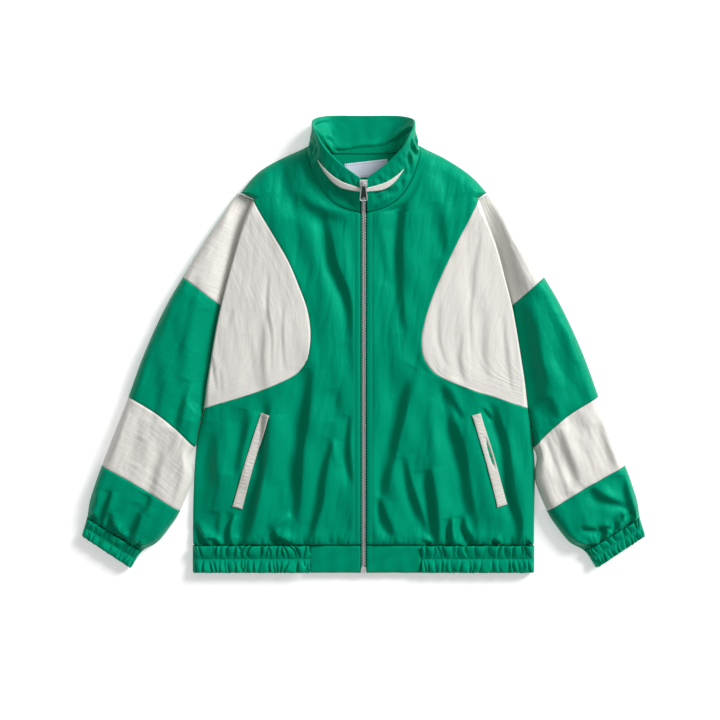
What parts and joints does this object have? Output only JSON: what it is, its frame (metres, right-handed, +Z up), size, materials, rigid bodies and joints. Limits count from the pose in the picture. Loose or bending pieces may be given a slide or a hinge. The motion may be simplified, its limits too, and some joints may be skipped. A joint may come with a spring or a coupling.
{
  "type": "track jacket",
  "caption": "Zip-up track jacket laid flat: stand collar, pale chest panels and sleeve bands, elastic hem and cuffs.",
  "frame": {"origin": "middle of the footprint, on the surface that the jacket lies on", "axes": "+X to the wearer's left, +Y from the hem to the collar, +Z up, away from the surface"},
  "size_m": [0.962, 0.7792, 0.0624],
  "materials": {
    "green_cloth": "smooth woven polyester with a soft sheen",
    "pale_cloth": "crinkled matt nylon",
    "label_cloth": "woven satin label, blank",
    "zip_tape": "woven zip tape",
    "zip_metal": "bright nickel"
  },
  "bodies": {
    "jacket": {"back": "green_cloth", "hem_elastic_back": "green_cloth", "collar": "green_cloth", "collar_facing": "green_cloth", "collar_stripe_right": "pale_cloth", "collar_stripe_left": "pale_cloth", "zip_tape_right": "zip_tape", "zip_tape_left": "zip_tape", "zip_chain": "zip_metal", "zip_box": "zip_metal", "zip_slider": "zip_metal", "zip_bridge": "zip_metal", "neck_label": "label_cloth", "front_right": "green_cloth", "chest_panel_right": "pale_cloth", "hem_tab_right": "green_cloth", "hem_elastic_right": "green_cloth", "pocket_welt_right": "pale_cloth", "sleeve_cap_right": "pale_cloth", "sleeve_cap_back_right": "green_cloth", "sleeve_upper_right": "green_cloth", "sleeve_band_right": "pale_cloth", "sleeve_lower_right": "green_cloth", "cuff_right": "green_cloth", "front_left": "green_cloth", "chest_panel_left": "pale_cloth", "hem_tab_left": "green_cloth", "hem_elastic_left": "green_cloth", "pocket_welt_left": "pale_cloth", "sleeve_cap_left": "pale_cloth", "sleeve_cap_back_left": "green_cloth", "sleeve_upper_left": "green_cloth", "sleeve_band_left": "pale_cloth", "sleeve_lower_left": "green_cloth", "cuff_left": "green_cloth"},
    "pull_tab": {"zip_pull": "zip_metal"}
  },
  "joints": [
    {"name": "pull_hinge", "type": "hinge", "parent": "jacket", "child": "pull_tab", "pos_m": [0, 0.26855, 0.05796], "axis": [-1, 0, 0], "range_deg": [0, 150]}
  ]
}
